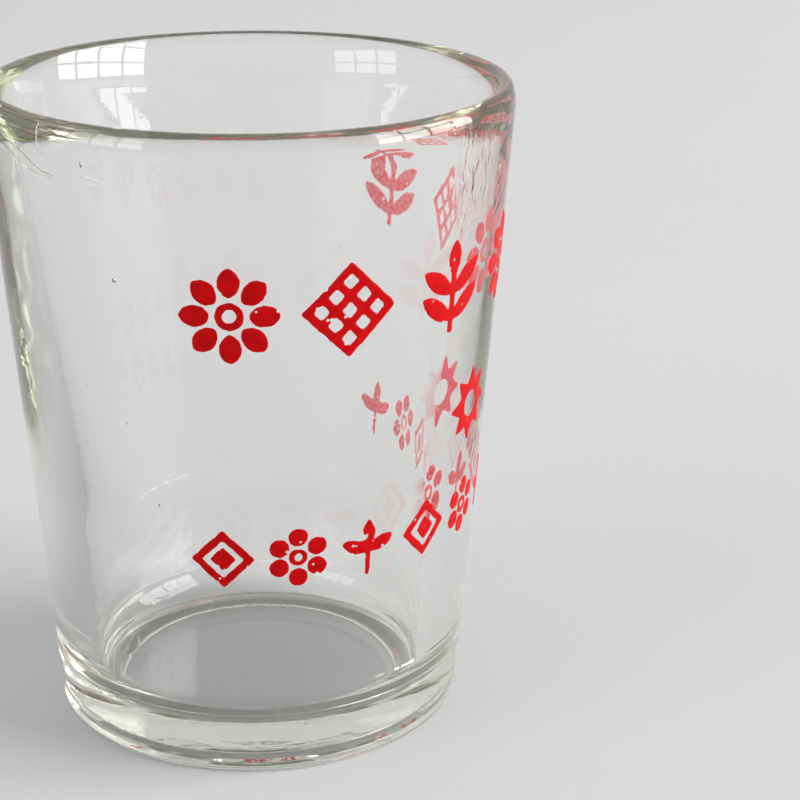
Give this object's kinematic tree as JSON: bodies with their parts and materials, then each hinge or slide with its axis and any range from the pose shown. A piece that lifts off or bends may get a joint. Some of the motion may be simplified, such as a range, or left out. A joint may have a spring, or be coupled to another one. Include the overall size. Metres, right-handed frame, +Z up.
{
  "type": "shot glass",
  "caption": "Small conical pressed glass tumbler with a thick heel and rounded lip, decorated with two rows of red fired enamel ornaments.",
  "frame": {"origin": "centre of the resting plane under the glass", "axes": "+Z up the glass along its axis of revolution; -Y is the side with the first print of each row, and the prints run from there towards +X"},
  "size_m": [0.0498, 0.0498, 0.062],
  "materials": {
    "clear_glass": "clear pressed soda-lime glass, fire-polished, faint green in the thick parts",
    "red_enamel": "fired screen-printed ceramic enamel, satin gloss, worn in places"
  },
  "bodies": {
    "root": {"glass_body": "clear_glass", "lower_print_1_nested_diamond": "red_enamel", "lower_print_2_daisy": "red_enamel", "lower_print_3_trefoil": "red_enamel", "lower_print_4_nested_diamond": "red_enamel", "lower_print_5_daisy": "red_enamel", "lower_print_6_trefoil": "red_enamel", "lower_print_7_nested_diamond": "red_enamel", "lower_print_8_daisy": "red_enamel", "lower_print_9_trefoil": "red_enamel", "middle_print_star": "red_enamel", "upper_print_1_blossom": "red_enamel", "upper_print_2_lattice": "red_enamel", "upper_print_3_sprig": "red_enamel", "upper_print_4_blossom": "red_enamel", "upper_print_5_lattice": "red_enamel", "upper_print_6_sprig": "red_enamel"}
  },
  "joints": []
}
